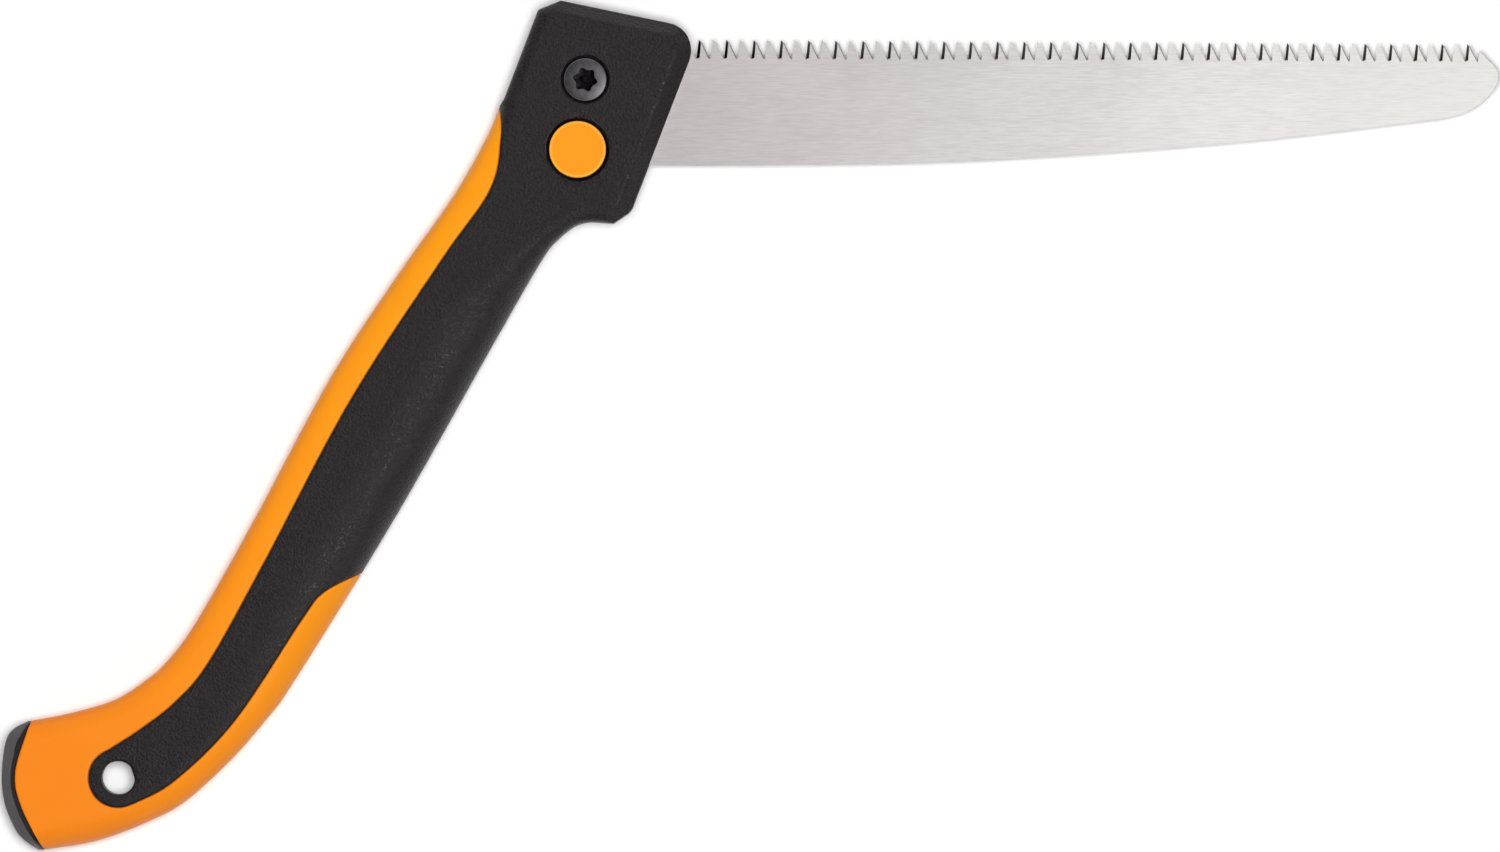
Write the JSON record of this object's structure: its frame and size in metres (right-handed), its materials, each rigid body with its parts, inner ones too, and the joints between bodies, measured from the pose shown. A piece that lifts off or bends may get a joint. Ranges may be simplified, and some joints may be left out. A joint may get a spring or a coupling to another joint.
{
  "type": "folding pruning saw",
  "caption": "Folding pruning saw: a long pull-cut blade swings into the slot of a curved two-tone handle, is held by a spring-loaded push button and hangs by a hole in the tail.",
  "frame": {"origin": "on the pivot axis, at the flat outer face of the pivot nut, in the plane the saw rests on when it lies on its side", "axes": "+X along the open blade towards its nose, +Y towards the toothed side of the open blade, +Z along the pivot axis, up out of the side with the button"},
  "size_m": [0.4764, 0.2702, 0.028],
  "materials": {
    "orange_core": "satin moulded",
    "soft_grip": "fine-grained matte",
    "tail_cap": "matte moulded",
    "blade_steel": "brushed lengthwise",
    "dark_steel": "black oxide",
    "plain_steel": "turned",
    "washer_plastic": "smooth",
    "button_orange": "satin gloss"
  },
  "bodies": {
    "handle": {"handle_core_back": "orange_core", "handle_core_front": "orange_core", "soft_grip_back": "soft_grip", "soft_grip_front": "soft_grip", "tail_cap": "tail_cap", "shell_screw_upper": "dark_steel", "shell_screw_middle": "dark_steel", "shell_screw_lower": "dark_steel", "blade_stop_pin": "plain_steel", "pivot_bolt": "dark_steel", "pivot_nut": "dark_steel", "pivot_bushing": "plain_steel", "pivot_spring_washer": "plain_steel", "blade_washer_back": "washer_plastic", "blade_washer_front": "washer_plastic", "lock_spring": "plain_steel", "spring_seat": "plain_steel"},
    "blade": {"blade": "blade_steel"},
    "lock": {"lock_button": "button_orange", "lock_plunger": "plain_steel"}
  },
  "joints": [
    {"name": "blade_fold", "type": "hinge", "parent": "handle", "child": "blade", "pos_m": [0, 0, 0.013], "axis": [0, 0, 1], "range_deg": [0, 232]},
    {"name": "lock_press", "type": "slide", "parent": "handle", "child": "lock", "axis": [0, 0, -1], "range_m": [0, 0.0038], "stiffness_N_per_m": 1500, "springref_m": -0.004, "deforming": ["lock_spring"]}
  ]
}
